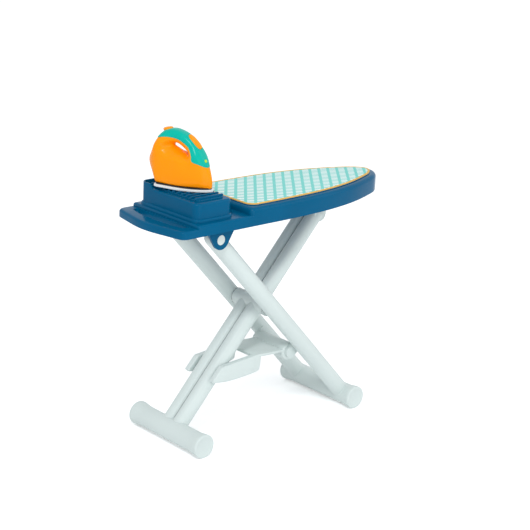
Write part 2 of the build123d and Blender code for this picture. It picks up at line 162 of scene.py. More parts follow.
def arc(centre: Flat, radius: float, first: float, steps: int) -> list[Flat]:
    """Points on a quarter circle, anticlockwise.

    Args:
        centre: Middle of the circle.
        radius: Its radius.
        first: Angle of the first point, in degrees.
        steps: How many steps the quarter is divided into.

    Returns:
        The points, both ends included.
    """
    points = []
    for i in range(steps + 1):
        turn = math.radians(first + i * 90 / steps)
        points.append((centre[0] + radius * math.cos(turn), centre[1] + radius * math.sin(turn)))
    return points


def other_side(points: Sequence[Flat]) -> list[Flat]:
    """The same points across the middle line, in the opposite order."""
    return [(x, -y) for x, y in reversed(points)]


class Blend(Enum):
    """How two solids are combined."""

    JOIN = "UNION"
    CUT = "DIFFERENCE"
    SHARE = "INTERSECT"


class Bench:
    """Modelling steps that every sub-assembly uses."""

    @staticmethod
    def only(piece: bpy.types.Object) -> None:
        """Select one piece and nothing else, and make it active.

        Args:
            piece: The piece to work on.
        """
        if bpy.context.object and bpy.context.object.mode != "OBJECT":
            bpy.ops.object.mode_set(mode="OBJECT")
        bpy.ops.object.select_all(action="DESELECT")
        piece.select_set(True)
        bpy.context.view_layer.objects.active = piece

    @classmethod
    def edit(cls, piece: bpy.types.Object, pick: str = "DESELECT") -> None:
        """Enter edit mode on a piece, with faces as what is picked.

        Args:
            piece: The piece to work on.
            pick: SELECT or DESELECT, for all of its mesh.
        """
        cls.only(piece)
        bpy.ops.object.mode_set(mode="EDIT")
        bpy.ops.mesh.select_mode(type="FACE")
        bpy.ops.mesh.select_all(action=pick)

    @staticmethod
    def leave() -> None:
        """Go back to object mode."""
        bpy.ops.object.mode_set(mode="OBJECT")

    @classmethod
    def close_up(cls) -> None:
        """Turn every face of the mesh in edit mode outwards, and go back to object mode."""
        bpy.ops.mesh.select_all(action="SELECT")
        bpy.ops.mesh.normals_make_consistent(inside=False)
        cls.leave()

    @staticmethod
    def step_in(draw: float, lift: float) -> None:
        """Inset the selected face by a distance and move it up by another."""
        bpy.ops.mesh.inset(thickness=draw, depth=0.0)
        bpy.ops.transform.translate(value=(0, 0, lift))

    @staticmethod
    def raise_face(lift: float) -> None:
        """Extrude the selected face upwards."""
        bpy.ops.mesh.extrude_region_move(TRANSFORM_OT_translate={"value": (0, 0, lift)})

    @staticmethod
    def at_level(height: float) -> Callable[[bmesh.types.BMEdge], bool]:
        """A test for edges that lie at a height."""
        return lambda edge: all(abs(v.co.z - height) < SAME_LEVEL for v in edge.verts)

    @staticmethod
    def above(height: float) -> Callable[[bmesh.types.BMEdge], bool]:
        """A test for edges that lie higher than a height."""
        return lambda edge: all(v.co.z > height for v in edge.verts)

    @classmethod
    def sheet(cls, name: str, corners: Sequence[Place]) -> bpy.types.Object:
        """A flat face with many corners, made from a filled circle.

        Args:
            name: Name of the new piece.
            corners: Where the circle's corners go.

        Returns:
            The new piece.
        """
        bpy.ops.mesh.primitive_circle_add(vertices=len(corners), radius=1.0, fill_type="NGON")
        piece = bpy.context.object
        piece.name = name
        for vertex, corner in zip(piece.data.vertices, corners):
            vertex.co = corner
        piece.data.update()
        return piece

    @classmethod
    def slab(cls, name: str, corners: Sequence[Place], push: Place) -> bpy.types.Object:
        """A solid of even thickness, extruded from a flat face.

        Args:
            name: Name of the new piece.
            corners: Corners of the first face.
            push: Which way, and how far, it is extruded.

        Returns:
            The new piece, with its faces pointing outwards.
        """
        piece = cls.sheet(name, corners)
        cls.edit(piece, "SELECT")
        bpy.ops.mesh.extrude_region_move(TRANSFORM_OT_translate={"value": push})
        cls.close_up()
        return piece

    @classmethod
    def upright(cls, name: str, plan: Sequence[Flat], low: float, high: float) -> bpy.types.Object:
        """An upright solid from its plan.

        Args:
            name: Name of the new piece.
            plan: Points round its plan, as X and Y.
            low: Height of its underside.
            high: Height of its top.

        Returns:
            The new piece.
        """
        return cls.slab(name, [(x, y, low) for x, y in plan], (0, 0, high - low))

    @classmethod
    def prism(cls, name: str, profile: Sequence[Flat], half: float) -> bpy.types.Object:
        """A solid from its side view, the same distance to both sides.

        Args:
            name: Name of the new piece.
            profile: Points round its side view, as X and Z.
            half: Half of its width.

        Returns:
            The new piece.
        """
        return cls.slab(name, [(x, half, z) for x, z in profile], (0, -2 * half, 0))

    @classmethod
    def bevel(
        cls,
        piece: bpy.types.Object,
        width: float,
        steps: int,
        wanted: Callable[[bmesh.types.BMEdge], bool],
    ) -> None:
        """Round the edges that a test picks.

        Args:
            piece: The piece to work on.
            width: Width of the rounding, in metres.
            steps: How many faces round it.
            wanted: Says whether an edge is rounded.
        """
        cls.edit(piece)
        bpy.ops.mesh.select_mode(type="EDGE")
        mesh = bmesh.from_edit_mesh(piece.data)
        for edge in mesh.edges:
            edge.select_set(wanted(edge))
        mesh.select_flush_mode()
        bmesh.update_edit_mesh(piece.data)
        bpy.ops.mesh.bevel(
            offset=width, segments=steps, profile=0.5, affect="EDGES", clamp_overlap=True
        )
        cls.leave()

    @classmethod
    def combine(cls, piece: bpy.types.Object, other: bpy.types.Object, how: Blend) -> None:
        """Join, cut or intersect a piece with another, which is used up.

        Args:
            piece: The piece that stays.
            other: The piece that is used up.
            how: What is done.
        """
        cls.only(piece)
        step = piece.modifiers.new("combine", "BOOLEAN")
        step.operation = how.value
        step.solver = "EXACT"
        step.object = other
        bpy.ops.object.modifier_apply(modifier=step.name)
        bpy.data.objects.remove(other)

    @classmethod
    def rounded(cls, piece: bpy.types.Object, width: float, steps: int, angle: float) -> None:
        """Round every edge that is sharper than an angle, with a Bevel modifier.

        Args:
            piece: The piece to work on.
            width: Width of the rounding, in metres.
            steps: How many faces round it.
            angle: Smallest angle that is rounded, in degrees.
        """
        cls.only(piece)
        step = piece.modifiers.new("round", "BEVEL")
        step.width, step.segments = width, steps
        step.limit_method, step.angle_limit = "ANGLE", math.radians(angle)
        step.use_clamp_overlap = True
        bpy.ops.object.modifier_apply(modifier=step.name)

    @classmethod
    def turned(cls, name: str, profile: Sequence[Flat], sides: int = 48) -> bpy.types.Object:
        """A turned solid about Z, extruded and scaled ring by ring from a disc.

        Args:
            name: Name of the new piece.
            profile: Radius and height of each ring, from the first disc up.
            sides: Faces round it.

        Returns:
            The new piece, standing on its own origin.
        """
        radius, height = profile[0]
        bpy.ops.mesh.primitive_circle_add(
            vertices=sides, radius=radius, fill_type="NGON", location=(0, 0, height)
        )
        piece = bpy.context.object
        piece.name = name
        bpy.ops.object.transform_apply(location=True, rotation=True, scale=True)
        cls.edit(piece, "SELECT")
        for next_radius, next_height in profile[1:]:
            cls.raise_face(next_height - height)
            factor = next_radius / radius
            bpy.ops.transform.resize(value=(factor, factor, 1))
            radius, height = next_radius, next_height
        cls.close_up()
        return piece

    @classmethod
    def placed(cls, piece: bpy.types.Object, matrix: Matrix) -> bpy.types.Object:
        """Move a piece for good, so that its object stays at the origin.

        Args:
            piece: The piece to move.
            matrix: Where it goes.

        Returns:
            The same piece.
        """
        piece.data.transform(matrix)
        piece.data.update()
        return piece

    @classmethod
    def twin(cls, piece: bpy.types.Object, name: str, matrix: Matrix) -> bpy.types.Object:
        """Copy a piece with a mesh of its own and put the copy in place.

        Args:
            piece: The piece to copy.
            name: Name of the copy.
            matrix: Where the copy goes, from where the piece is.

        Returns:
            The copy.
        """
        copy = piece.copy()
        copy.data = piece.data.copy()
        copy.name = name
        bpy.context.scene.collection.objects.link(copy)
        return cls.placed(copy, matrix)

    @classmethod
    def done(
        cls,
        piece: bpy.types.Object,
        body: str,
        finish: bpy.types.Material,
        slot: Optional[str] = None,
        names: Sequence[str] = (),
    ) -> None:
        """Give a piece its shading, material and place on a CAD body.

        Args:
            piece: The finished piece.
            body: The body that it rides on.
            finish: Its material.
            slot: The record's material slot that it stands for; not used.
            names: CAD nodes that it stands for.
        """
        cls.only(piece)
        bpy.ops.object.shade_smooth_by_angle(angle=SMOOTH_ANGLE)
        piece.data.materials.clear()
        piece.data.materials.append(finish)
        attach(piece, body)
        if names:
            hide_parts(*names)
        log.info("%s rides on %s with %d faces", piece.name, body, len(piece.data.polygons))


class Signal:
    """A shader value that Python's operators work on."""

    def __init__(self, nodes: "Nodes", socket: bpy.types.NodeSocket) -> None:
        """Keep the node tree and the socket that the value comes from."""
        self.nodes = nodes
        self.socket = socket

    def _with(self, step: str, other: "Signal | float", swapped: bool = False) -> "Signal":
        """Combine this value with another by one Math node.

        Args:
            step: The Math node's operation.
            other: The other value.
            swapped: True where the other value comes first.

        Returns:
            The new value.
        """
        pair = (other, self) if swapped else (self, other)
        return self.nodes.maths(step, *pair)

    def __add__(self, other: "Signal | float") -> "Signal":
        """Sum."""
        return self._with("ADD", other)

    def __radd__(self, other: float) -> "Signal":
        """Sum, the other way round."""
        return self._with("ADD", other, True)

    def __sub__(self, other: "Signal | float") -> "Signal":
        """Difference."""
        return self._with("SUBTRACT", other)

    def __rsub__(self, other: float) -> "Signal":
        """Difference, the other way round."""
        return self._with("SUBTRACT", other, True)

    def __mul__(self, other: "Signal | float") -> "Signal":
        """Product."""
        return self._with("MULTIPLY", other)

    def __rmul__(self, other: float) -> "Signal":
        """Product, the other way round."""
        return self._with("MULTIPLY", other, True)

    def __truediv__(self, other: "Signal | float") -> "Signal":
        """Quotient."""
        return self._with("DIVIDE", other)


class Nodes:
    """A node tree and what is added to it."""

    def __init__(self, tree: bpy.types.NodeTree) -> None:
        """Start with an empty tree."""
        self.tree = tree
        self.tree.nodes.clear()

    def node(
        self,
        kind: str,
        settings: Optional[dict[str, object]] = None,
        inputs: Optional[dict[str | int, object]] = None,
    ) -> bpy.types.Node:
        """Add one node.

        Args:
            kind: The node's type.
            settings: Its settings, such as a Math node's operation.
            inputs: Values or links for its sockets, by name or index.

        Returns:
            The new node.
        """
        made = self.tree.nodes.new(kind)
        for name, value in (settings or {}).items():
            setattr(made, name, value)
        for name, value in (inputs or {}).items():
            self.feed(made.inputs[name], value)
        return made

    def feed(self, socket: bpy.types.NodeSocket, value: object) -> None:
        """Give a socket a value, or a link where the value is one.

        Args:
            socket: The socket.
            value: A plain value, a Signal or the socket that it is linked to.
        """
        if isinstance(value, Signal):
            value = value.socket
        if isinstance(value, bpy.types.NodeSocket):
            self.tree.links.new(value, socket)
        else:
            socket.default_value = value

    def maths(self, step: str, *values: Signal | float) -> Signal:
        """Add a Math node and return its result."""
        made = self.node("ShaderNodeMath", {"operation": step}, dict(enumerate(values)))
        return Signal(self, made.outputs[0])

    def seen_directly(self) -> Signal:
        """Tell rays that show the scene to the camera from rays that light it.

        Returns:
            1 for what the camera sees, also in a reflection or through glass, and 0 for light.
        """
        path = self.node("ShaderNodeLightPath")
        seen = Signal(self, path.outputs["Is Camera Ray"])
        for ray in ("Is Glossy Ray", "Is Transmission Ray"):
            seen = self.maths("MAXIMUM", seen, Signal(self, path.outputs[ray]))
        return seen


class Shader(Nodes):
    """One material and the nodes that are added to it."""

    def __init__(self, name: str) -> None:
        """Start a material with a plain surface.

        Args:
            name: Name of the material.
        """
        self.material = bpy.data.materials.new(name)
        self.material.use_nodes = True
        super().__init__(self.material.node_tree)
        self.surface = self.node("ShaderNodeBsdfPrincipled")
        self.node("ShaderNodeOutputMaterial", inputs={"Surface": self.surface.outputs["BSDF"]})

    def where(self, turn: float = 0.0, scale: Place = (1, 1, 1)) -> bpy.types.NodeSocket:
        """Object coordinates, turned about Z and then scaled.

        Args:
            turn: Angle about Z, in radians.
            scale: Scale along each axis.

        Returns:
            The vector socket.
        """
        source = self.node("ShaderNodeTexCoord").outputs["Object"]
        made = self.node(
            "ShaderNodeMapping",
            inputs={"Vector": source, "Rotation": (0, 0, turn), "Scale": scale},
        )
        return made.outputs["Vector"]

    def noise(self, place: bpy.types.NodeSocket, scale: float, detail: float = 2.0) -> Signal:
        """Soft random values over the surface.

        Args:
            place: Coordinates.
            scale: How fine they are, per metre.
            detail: How rough they are.

        Returns:
            A value from 0 to 1.
        """
        made = self.node(
            "ShaderNodeTexNoise", inputs={"Vector": place, "Scale": scale, "Detail": detail}
        )
        return Signal(self, made.outputs[0])

    def between(self, value: Signal, start: float, end: float) -> Signal:
        """A value that rises smoothly from 0 to 1 between two limits.

        Args:
            value: The value that is read.
            start: Where the result is 0.
            end: Where the result is 1.

        Returns:
            The smooth step.
        """
        made = self.node(
            "ShaderNodeMapRange",
            {"interpolation_type": "SMOOTHSTEP"},
            {"Value": value, "From Min": start, "From Max": end},
        )
        return Signal(self, made.outputs["Result"])

    def mixed(self, share: Signal, first: object, second: object) -> bpy.types.NodeSocket:
        """Mix two colours.

        Args:
            share: How much of the second one.
            first: Colour where the share is 0.
            second: Colour where the share is 1.

        Returns:
            The colour socket.
        """
        made = self.node(
            "ShaderNodeMix", {"data_type": "RGBA"}, {0: share, 6: first, 7: second}
        )
        return made.outputs[2]

    def relief(self, height: Signal, depth: float, strength: float = 1.0) -> None:
        """Feed a height into the surface's normal.

        Args:
            height: The height, 0 to 1.
            depth: What a height of 1 stands for, in metres.
            strength: Share of it that shows.
        """
        made = self.node(
            "ShaderNodeBump", inputs={"Height": height, "Distance": depth, "Strength": strength}
        )
        self.set("Normal", made.outputs["Normal"])

    def axes(self, place: bpy.types.NodeSocket) -> tuple[Signal, Signal]:
        """The X and Y of coordinates, as values."""
        parts = self.node("ShaderNodeSeparateXYZ", inputs={0: place})
        return Signal(self, parts.outputs[0]), Signal(self, parts.outputs[1])

    def set(self, name: str, value: object) -> None:
        """Set or link one of the surface's sockets."""
        self.feed(self.surface.inputs[name], value)


@dataclass(frozen=True)
class MouldedPlastic:
    """Injection-moulded plastic: even colour, faint flow clouds, fine grain and soft rub marks."""

    name: str
    colour: Tint
    roughness: float = 0.4
    grain: float = 0.00004
    clouds: float = 0.05
    gloss: float = 0.2
    cloud_scale: float = 11.0
    grain_scale: float = 2300.0
    cloud_limits: Flat = (0.3, 0.7)
    rub_turn: float = 0.6
    rub_scale: Place = (220, 30, 60)
    rub_limits: Flat = (0.56, 0.78)

    def shade(self, factor: float) -> Light:
        """The colour, lighter or darker by a factor."""
        red, green, blue, alpha = linear(*self.colour)
        return (min(1, red * factor), min(1, green * factor), min(1, blue * factor), alpha)

    def material(self) -> bpy.types.Material:
        """Build the node material.

        Returns:
            The material.
        """
        shader = Shader(self.name)
        place = shader.where()
        flow = shader.noise(place, self.cloud_scale, 3.0)
        fine = shader.noise(place, self.grain_scale, 1.0)
        rubbed = shader.noise(shader.where(self.rub_turn, self.rub_scale), 1.0, 4.0)
        rub = shader.between(rubbed, *self.rub_limits)
        share = shader.between(flow, *self.cloud_limits)
        base = shader.mixed(share, self.shade(1 - self.clouds), self.shade(1 + self.clouds))
        shader.set("Base Color", base)
        shader.set("Roughness", self.roughness + 0.08 * (fine - 0.5) + 0.05 * rub)
        shader.set("Specular IOR Level", self.gloss)
        shader.relief(fine + 0.15 * rub, self.grain, 0.5)
        return shader.material


@dataclass(frozen=True)
class PrintedCloth:
    """Cotton cover with a mint ground and rows of pale dashes, printed across the weave."""

    name: str
    ground: Tint
    dash: Tint
    dulled: Tint = (90, 140, 135)
    turn: float = math.radians(41.2)
    column: float = 0.0197
    row: float = 0.0118
    dash_length: float = 0.0134
    dash_height: float = 0.0057
    side_blur: float = 0.0006
    end_blur: float = 0.0004
    thread: float = 0.0009
    worn_lift: int = 9
    worn_scale: float = 60.0
    depth: float = 0.00022

    def stripe(
        self, shader: Shader, value: Signal, pitch: float, width: float, soft: float
    ) -> Signal:
        """Bands of one width that repeat along a coordinate.

        Args:
            shader: The material being built.
            value: The coordinate, in metres.
            pitch: Distance from band to band.
            width: Width of a band.
            soft: Width of a band's blurred edge.

        Returns:
            1 inside a band and 0 outside.
        """
        turn = shader.maths("FRACT", value / pitch)
        off = shader.maths("ABSOLUTE", turn - 0.5)
        half = width / pitch / 2
        return 1 - shader.between(off, half - soft / pitch, half + soft / pitch)

    def material(self) -> bpy.types.Material:
        """Build the node material.

        Returns:
            The material.
        """
        shader = Shader(self.name)
        across, up = shader.axes(shader.where(self.turn))
        column = self.stripe(shader, across, self.column, self.dash_length, self.side_blur)
        row = self.stripe(shader, up, self.row, self.dash_height, self.end_blur)
        ink = column * row
        beat = 2 * math.pi / self.thread
        warp, weft = (shader.maths("SINE", part * beat) for part in shader.axes(shader.where()))
        weave = 0.5 + 0.25 * (warp * weft + warp * 0.5 - weft * 0.5)
        worn = shader.noise(shader.where(), self.worn_scale, 4.0)
        lifted = [min(255, part + self.worn_lift) for part in self.ground]
        ground = shader.mixed(worn, linear(*self.ground), linear(*lifted))
        printed = shader.mixed(ink * (0.9 + 0.1 * weave), ground, linear(*self.dash))
        dulled = shader.mixed(0.04 * (1 - weave), printed, linear(*self.dulled))
        shader.set("Base Color", dulled)
        shader.set("Roughness", 0.82 + 0.08 * weave)
        shader.set("Sheen Weight", 0.06)
        shader.set("Sheen Roughness", 0.5)
        shader.set("Specular IOR Level", 0.2)
        shader.relief(weave + 0.8 * worn, self.depth, 0.6)
        return shader.material


@dataclass(frozen=True)
class WovenTape:
    """Binding tape: dense ribs across a coloured band, with a soft sheen."""

    name: str
    colour: Tint
    dark: Tint
    rib: float = 0.0011
    worn_scale: float = 45.0
    depth: float = 0.00018

    def material(self) -> bpy.types.Material:
        """Build the node material.

        Returns:
            The material.
        """
        shader = Shader(self.name)
        beat = 2 * math.pi / self.rib
        first, second = (shader.maths("SINE", part * beat) for part in shader.axes(shader.where()))
        weave = 0.5 + 0.25 * (first + second)
        faded = shader.noise(shader.where(), self.worn_scale, 3.0)
        share = 0.45 * (1 - weave) + 0.35 * faded
        tone = shader.mixed(share, linear(*self.colour), linear(*self.dark))
        shader.set("Base Color", tone)
        shader.set("Roughness", 0.7 + 0.1 * weave)
        shader.set("Sheen Weight", 0.12)
        shader.set("Specular IOR Level", 0.25)
        shader.relief(weave, self.depth, 0.7)
        return shader.material


class Finishes:
    """Every material of the object, made once."""

    def __init__(self) -> None:
        """Build the materials."""
        grain = MouldedPlastic.grain
        self.blue, self.grey, self.orange, self.teal, self.sole, self.dark, self.lamp = (
            MouldedPlastic(name, colour, roughness, grain, clouds, gloss).material()
            for name, colour, roughness, clouds, gloss in (
                ("blue_board", (0, 88, 127), 0.18, 0.04, 0.06),
                ("pale_frame", (208, 219, 217), 0.42, 0.015, 0.3),
                ("orange_iron", (255, 150, 6), 0.2, 0.03, 0.12),
                ("teal_cover", (0, 176, 158), 0.2, 0.03, 0.12),
                ("sole_grey", (222, 225, 226), 0.3, 0.01, 0.4),
                # painted shade: this dark finish only goes on pieces that stand for shade in
                # grooves and gaps
                ("painted_shade_dark", (38, 42, 46), 0.6, 0.05, 0.2),
                ("lamp_green", (178, 214, 60), 0.22, 0.03, 0.3),
            )
        )
        self.cloth = PrintedCloth("mint_cloth", (122, 208, 201), (255, 255, 255)).material()
        self.foam = MouldedPlastic(
            "foam_cream", (226, 226, 216), 0.9, grain=0.0002, clouds=0.03
        ).material()
        self.tape = WovenTape("orange_tape", (236, 190, 98), (208, 160, 74)).material()

    def dress_nodes(self, nodes: dict[str, bpy.types.Object]) -> None:
        """Give every carried-over CAD node its material.

        Args:
            nodes: The CAD nodes by name.
        """
        slots = {
            "blue_plastic": self.blue,
            "grey_plastic": self.grey,
            "pad_cloth": self.cloth,
            "pad_foam": self.foam,
            "pad_binding": self.tape,
            "orange_plastic": self.orange,
            "teal_plastic": self.teal,
            "sole_grey_plastic": self.sole,
            "lamp_green_plastic": self.lamp,
        }
        for entry in frame["record"]["subparts"]:
            node = nodes[entry["node"]]
            node.data.materials.clear()
            node.data.materials.append(slots[entry["material_slot"]])


@dataclass
class BoardTop:
    """The moulded board: low end rail, shelf, raised platform, finger slot and stiffening ribs."""

    finishes: Finishes
    half_width: float = 0.103
    bottom: float = 0.462
    end_top: float = 0.4775
    shelf: float = 0.484
    platform: float = 0.4985
    shelf_start: float = 0.054
    step: float = 0.187
    step_corner: float = 0.010
    shelf_cut: float = 0.004
    wall: float = 0.0035
    shelf_round: float = 0.0048
    rim_round: float = 0.0088
    spare: float = 0.01
    ribs: tuple[Flat, ...] = ((0.160, 0.101), (0.235, 0.101), (0.330, 0.100), (0.410, 0.092))
    rib_width: float = 0.0025
    rib_lift: float = 0.006

    def nose(self) -> list[Flat]:
        """Points round the nose, from the near side to the far side."""
        far = from_end([
            (0.618, 0.0195), (0.602, 0.0360), (0.576, 0.0510), (0.510, 0.0755), (0.450, 0.0900),
            (0.380, 0.0993), (0.290, 0.103), (0.230, 0.103),
        ])
        return smooth_run([*other_side(far), (HALF_LENGTH, 0.0), *far], 6)

    def end(self) -> list[Flat]:
        """Points round the bowed handle end, from the far side to the near side."""
        far = from_end([
            (0.060, 0.103), (0.030, 0.103), (0.0205, 0.0998), (0.0152, 0.092), (0.0085, 0.060),
            (0.0022, 0.028),
        ])
        return smooth_run([*far, (-HALF_LENGTH, 0.0), *other_side(far)], 5)

    def platform_outline(self, inset: float) -> list[Flat]:
        """Plan of the raised platform, with round corners beside the rest.

        Args:
            inset: How far the outline is drawn in.

        Returns:
            Points round the outline.
        """
        radius = self.step_corner
        corner = arc((along(self.step) + radius, self.half_width - radius), radius, 90, 6)
        return drawn_in([*self.nose(), *corner, *other_side(corner)], inset)

    def end_outline(self, inset: float) -> list[Flat]:
        """Plan of the low rail at the handle end.

        Args:
            inset: How far the outline is drawn in.

        Returns:
            Points round the outline.
        """
        reach = along(self.shelf_start + 0.02)
        outline = [*self.end(), (reach, -self.half_width), (reach, self.half_width)]
        return drawn_in(outline, inset)

    def shelf_outline(self, inset: float) -> list[Flat]:
        """Plan of the shelf under the iron's rest.

        Args:
            inset: How far the outline is drawn in.

        Returns:
            Points round the outline.
        """
        start, side, cut = along(self.shelf_start), self.half_width, self.shelf_cut
        reach = along(self.step + 0.035)
        far = [(start + cut, side), (start + cut / 3, side - cut / 3), (start, side - cut)]
        return drawn_in([*far, *other_side(far), (reach, -side), (reach, side)], inset)

    def slot_outline(self, margin: float) -> list[Flat]:
        """Plan of the finger slot, which bows with the end rail.

        Args:
            margin: How far the outline is pushed out.

        Returns:
            Points round the outline.
        """
        outer = smooth_run([
            (0.0365, -0.078), (0.0290, -0.045), (0.0268, 0.0), (0.0290, 0.045), (0.0365, 0.078),
        ], 6)
        far = [(0.0400, 0.0800), (0.0475, 0.0800), (0.0500, 0.0775)]
        clockwise = from_end([*outer, *far, *other_side(far)])
        return drawn_in(list(reversed(clockwise)), -margin)

    def lower_level(
        self, deck: bpy.types.Object, plan: Sequence[Flat], level: float, end: float
    ) -> None:
        """Add a lower part of the top, with its upper edges rounded.

        Args:
            deck: The board so far.
            plan: Plan of the part.
            level: Height of its top.
            end: X from where its edges are buried in the next part.
        """
        part = Bench.upright("level", plan, self.bottom, level)
        on_top = Bench.at_level(level)
        Bench.bevel(
            part, self.shelf_round, 5,
            lambda edge: on_top(edge) and any(v.co.x < end for v in edge.verts),
        )
        Bench.combine(deck, part, Blend.JOIN)

    def build(self) -> None:
        """Model the board and put it in place of its CAD node."""
        deck = Bench.upright("board_deck", self.platform_outline(0), self.bottom, self.platform)
        Bench.bevel(deck, self.rim_round, 6, Bench.at_level(self.platform))
        # Each lower level is drawn in by a hair, so that no two sides lie in one plane.
        buried = along(self.step + 0.03)
        self.lower_level(deck, self.shelf_outline(0.0001), self.shelf, buried)
        buried = along(self.shelf_start + 0.015)
        self.lower_level(deck, self.end_outline(0.0002), self.end_top, buried)
        under = self.bottom - self.spare
        for plan, ceiling in (
            (self.platform_outline(self.wall), self.platform),
            (self.shelf_outline(self.wall), self.shelf),
            (self.end_outline(self.wall), self.end_top),
        ):
            hollow = Bench.upright("hollow", plan, under, ceiling - self.wall)
            Bench.combine(deck, hollow, Blend.CUT)
        low, high = self.bottom + 0.002, self.end_top - 0.0008
        collar = Bench.upright("collar", self.slot_outline(self.wall), low, high)
        Bench.combine(deck, collar, Blend.JOIN)
        slot = Bench.upright("slot", self.slot_outline(0), under, self.shelf + self.spare)
        Bench.combine(deck, slot, Blend.CUT)
        for start, reach in self.ribs:
            left, right = along(start), along(start + self.rib_width)
            top = (self.shelf if start < self.step else self.platform) - self.wall / 2
            plan = [(left, -reach), (right, -reach), (right, reach), (left, reach)]
            rib = Bench.upright("rib", plan, self.bottom + self.rib_lift, top)
            Bench.combine(deck, rib, Blend.JOIN)
        Bench.done(deck, "board", self.finishes.blue, "blue_plastic", ["deck"])


@dataclass
class Pad:
    """The padded cover: a crowned cushion and its binding tape, on a low step of the platform."""

    finishes: Finishes
    board: BoardTop
    inset: float = 0.014
    start: float = 0.196
    corner: float = 0.020
    thick: float = 0.0038
    plinth: float = 0.0016
    binding: float = 0.0046
    sunk: float = 0.0006
    edge_steps: tuple[Flat, ...] = ((0.0006, 0.0005), (0.0010, 0.0004), (0.0018, 0.0003))
    crown_steps: tuple[Flat, ...] = ((0.93, 0.0002), (0.8, 0.0002), (0.6, 0.0001))
    tape_steps: tuple[Flat, ...] = (
        (0.10, 0.28), (0.18, 0.17), (0.27, 0.04), (0.25, -0.05), (0.12, -0.18), (0.08, -0.3),
    )

    def outline(self, inset: float) -> list[Flat]:
        """Plan of the pad, anticlockwise.

        Args:
            inset: How far it is drawn in from its own edge.

        Returns:
            Points round the outline.
        """
        side = self.board.half_width - self.inset
        radius = self.corner
        corner = arc((along(self.start) + radius, side - radius), radius, 90, 9)
        nose = drawn_in(self.board.nose(), self.inset)[1:-1]
        return drawn_in([*nose, *corner, *other_side(corner)], inset)

    def cushion(self) -> bpy.types.Object:
        """The padded cloth: rings drawn in step by step from its edge, each a little higher.

        Returns:
            The cushion.
        """
        base = self.board.platform + self.plinth
        edge = self.outline(self.binding * 0.75)
        piece = Bench.sheet("pad_cushion", [(x, y, base + 0.0001) for x, y in edge])
        Bench.edit(piece, "SELECT")
        Bench.raise_face(self.thick - self.plinth - 0.0014)
        for draw, lift in self.edge_steps:
            Bench.step_in(draw, lift)
        for share, lift in self.crown_steps:
            Bench.raise_face(lift)
            bpy.ops.transform.resize(value=(share, share, 1))
        Bench.close_up()
        return piece

    def tape(self) -> bpy.types.Object:
        """The binding: a flat band round the edge, rounded over on both sides.

        Returns:
            The binding.
        """
        base = self.board.platform + self.plinth
        piece = Bench.sheet("pad_tape", [(x, y, base) for x, y in self.outline(0)])
        Bench.edit(piece, "SELECT")
        lift = self.thick - self.plinth
        Bench.raise_face(lift * 0.55)
        for draw, rise in self.tape_steps:
            Bench.step_in(draw * self.binding, lift * rise)
        Bench.close_up()
        return piece

    def raised_edge(self) -> bpy.types.Object:
        """The low moulded step of the platform that the pad lies on.

        Returns:
            The step.
        """
        level = self.board.platform
        piece = Bench.upright(
            "pad_step", self.outline(-0.0004), level - self.sunk, level + self.plinth
        )
        Bench.rounded(piece, 0.0004, 2, 50)
        return piece

    def build(self) -> None:
        """Model the pad and put it in place of its CAD nodes."""
        Bench.done(self.raised_edge(), "board", self.finishes.blue, "blue_plastic")
        cushion = self.cushion()
        Bench.done(cushion, "board", self.finishes.cloth, "pad_cloth", ["pad_cloth", "pad_foam"])
        tape = self.tape()
        Bench.done(tape, "board", self.finishes.tape, "pad_binding", ["pad_binding"])


